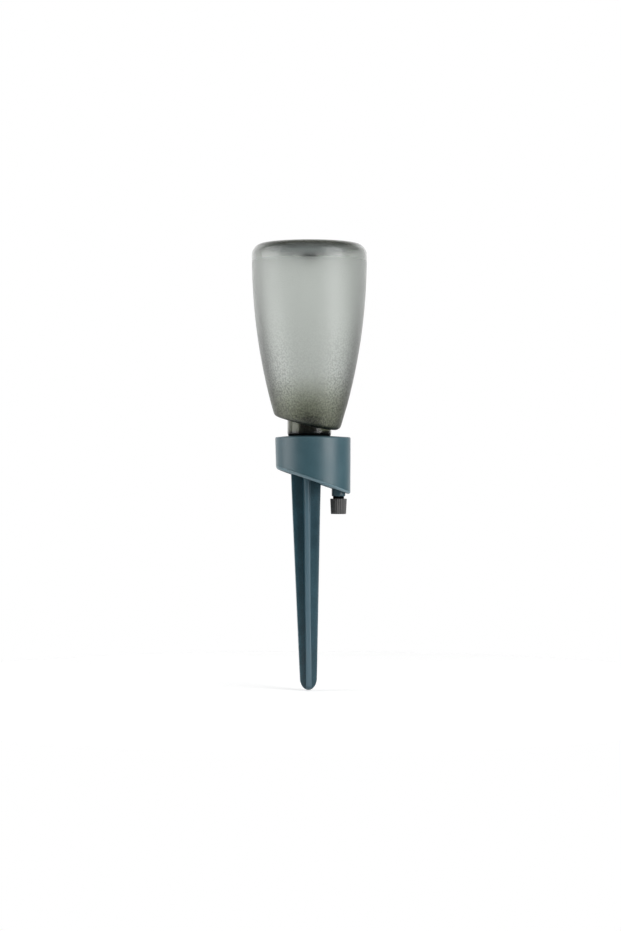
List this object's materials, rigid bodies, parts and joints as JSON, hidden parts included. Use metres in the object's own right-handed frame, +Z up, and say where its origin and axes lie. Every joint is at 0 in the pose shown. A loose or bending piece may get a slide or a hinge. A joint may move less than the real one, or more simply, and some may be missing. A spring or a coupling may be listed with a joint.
{
  "type": "drip watering spike",
  "caption": "Upside-down translucent bottle screwed into a slant-bottomed drum on a four-ribbed ground spike, with an adjustable drip valve under the drum.",
  "frame": {"origin": "tip of the ground spike", "axes": "+Z up along the object, +X from the bottle's axis toward the drip valve, +Y away from the viewer of the picture"},
  "size_m": [0.0851, 0.085, 0.33],
  "materials": {
    "smoky_plastic": "frosted translucent",
    "teal_plastic": "satin",
    "dark_teal_plastic": "satin",
    "glossy_teal_plastic": "glossy",
    "grey_plastic": "matte",
    "black_plastic": "matte",
    "black_rubber": "matte"
  },
  "bodies": {
    "holder": {"holder_shell": "teal_plastic", "socket_cup": "dark_teal_plastic", "strainer": "black_plastic", "base_plate": "dark_teal_plastic", "base_seal": "black_rubber", "spike": "dark_teal_plastic", "outlet_pipe": "glossy_teal_plastic", "outlet_seal": "black_rubber"},
    "neck_ring": {"neck_gasket": "black_rubber"},
    "reservoir": {"bottle": "smoky_plastic", "vent_plug": "black_rubber"},
    "stem_ring": {"knob_seal": "black_rubber"},
    "knob": {"drip_knob": "grey_plastic", "metering_needle": "black_plastic"}
  },
  "joints": [
    {"name": "bottle_lift", "type": "slide", "parent": "holder", "child": "neck_ring", "axis": [0, 0, 1], "range_m": [0, 0.012]},
    {"name": "bottle_turn", "type": "hinge", "parent": "neck_ring", "child": "reservoir", "pos_m": [0.00065, 0, 0.19], "axis": [0, 0, 1], "range_deg": [0, 1085]},
    {"name": "knob_travel", "type": "slide", "parent": "holder", "child": "stem_ring", "axis": [0, 0, -1], "range_m": [0, 0.0025]},
    {"name": "knob_turn", "type": "hinge", "parent": "stem_ring", "child": "knob", "pos_m": [0.02225, 0, 0.135], "axis": [0, 0, -1], "range_deg": [0, 453]}
  ],
  "couplings": [
    {"joint": "bottle_turn", "follows": "bottle_lift", "rad_per_m": 1570.8},
    {"joint": "knob_turn", "follows": "knob_travel", "rad_per_m": 3141.6}
  ]
}
